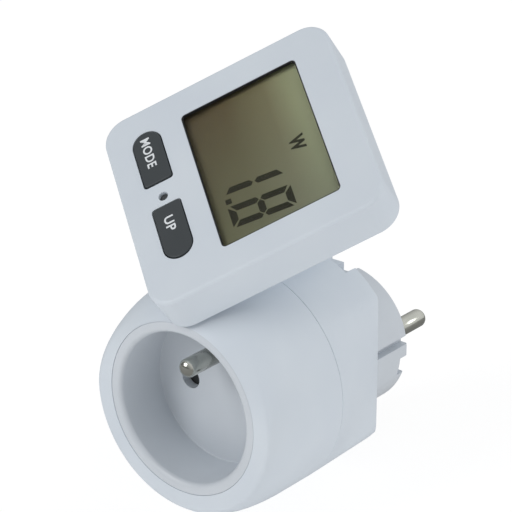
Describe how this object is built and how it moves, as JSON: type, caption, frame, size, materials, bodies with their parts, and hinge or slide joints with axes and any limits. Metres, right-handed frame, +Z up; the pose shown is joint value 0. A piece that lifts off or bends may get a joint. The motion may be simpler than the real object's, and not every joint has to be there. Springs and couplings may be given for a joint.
{
  "type": "plug in power meter",
  "caption": "Plug-through energy meter: earthed two-pin outlet and plug in a round barrel, with a swivelling square display head and push buttons.",
  "frame": {"origin": "centre of the plug engagement face, midway between the two pins", "axes": "+Y along the pins into the wall, +Z up towards the display head, +X to the right when facing the outlet"},
  "size_m": [0.0808, 0.095, 0.1126],
  "materials": {
    "housing_white": "fine satin moulded ABS",
    "insert_white": "satin moulded polycarbonate",
    "inner_moulding": "matte moulded nylon",
    "zinc_screw": "zinc plated",
    "spring_steel": "bright spring steel",
    "nickel_pin": "nickel plated brass",
    "brass_contact": "bare brass strip",
    "circuit_board": "green solder mask",
    "copper_alloy": "resistance alloy strip",
    "capacitor_yellow": "moulded box",
    "capacitor_sleeve": "shrunk sleeve",
    "varistor_blue": "dipped epoxy",
    "chip_black": "moulded epoxy",
    "cable_grey": "PVC insulation",
    "clear_window": "clear polished acrylic",
    "lcd_glass": "grey-green reflective display",
    "zebra_rubber": "conductive elastomer",
    "connector_nylon": "natural nylon",
    "cell_steel": "steel can",
    "button_grey": "fine matte moulded plastic",
    "reset_black": "matte",
    "plunger_brown": "moulded nylon"
  },
  "bodies": {
    "housing": {"front_shell": "housing_white", "rear_shell": "housing_white", "housing_screws": "zinc_screw", "socket_cup": "insert_white", "socket_earth_pin": "nickel_pin", "shutter_spring": "spring_steel", "contact_carrier": "inner_moulding", "line_contact": "brass_contact", "neutral_contact": "brass_contact", "power_board": "circuit_board", "current_shunt": "copper_alloy", "film_capacitor": "capacitor_yellow", "reservoir_capacitor": "capacitor_sleeve", "varistor": "varistor_blue", "metering_chip": "chip_black", "plug_insert": "insert_white", "line_pin": "nickel_pin", "neutral_pin": "nickel_pin", "plug_earth_sleeve": "brass_contact", "earth_strap": "brass_contact", "earth_clips": "nickel_pin", "neck": "housing_white", "neck_screws": "zinc_screw", "swivel_cable": "cable_grey", "wave_washer": "spring_steel"},
    "head": {"head_bezel": "housing_white", "display_window": "clear_window", "lcd_glass": "lcd_glass", "lcd_frame": "inner_moulding", "zebra_strips": "zebra_rubber", "display_board": "circuit_board", "display_chip": "chip_black", "cable_connector": "connector_nylon", "backup_battery": "cell_steel", "battery_clip": "spring_steel", "button_switches": "chip_black", "head_back": "housing_white", "head_screws": "zinc_screw", "retaining_ring": "spring_steel"},
    "mode_key": {"mode_button": "button_grey", "mode_plunger": "plunger_brown"},
    "up_key": {"up_button": "button_grey", "up_plunger": "plunger_brown"},
    "reset_key": {"reset_button": "reset_black", "reset_plunger": "plunger_brown"},
    "shutter": {"safety_shutter": "inner_moulding"}
  },
  "joints": [
    {"name": "head_swivel", "type": "hinge", "parent": "housing", "child": "head", "pos_m": [0, -0.045, 0.0602], "axis": [0, -0.6428, 0.766], "range_deg": [-47, 133]},
    {"name": "mode_press", "type": "slide", "parent": "head", "child": "mode_key", "axis": [0, 0.6428, -0.766], "range_m": [0, 0.0005], "stiffness_N_per_m": 400, "springref_m": -0.001},
    {"name": "up_press", "type": "slide", "parent": "head", "child": "up_key", "axis": [0, 0.6428, -0.766], "range_m": [0, 0.0005], "stiffness_N_per_m": 400, "springref_m": -0.001},
    {"name": "reset_press", "type": "slide", "parent": "head", "child": "reset_key", "axis": [0, 0.6428, -0.766], "range_m": [0, 0.0005], "stiffness_N_per_m": 400, "springref_m": -0.001},
    {"name": "shutter_slide", "type": "slide", "parent": "housing", "child": "shutter", "axis": [0, 0, -1], "range_m": [0, 0.007], "stiffness_N_per_m": 60, "springref_m": -0.002, "deforming": ["shutter_spring"]}
  ]
}
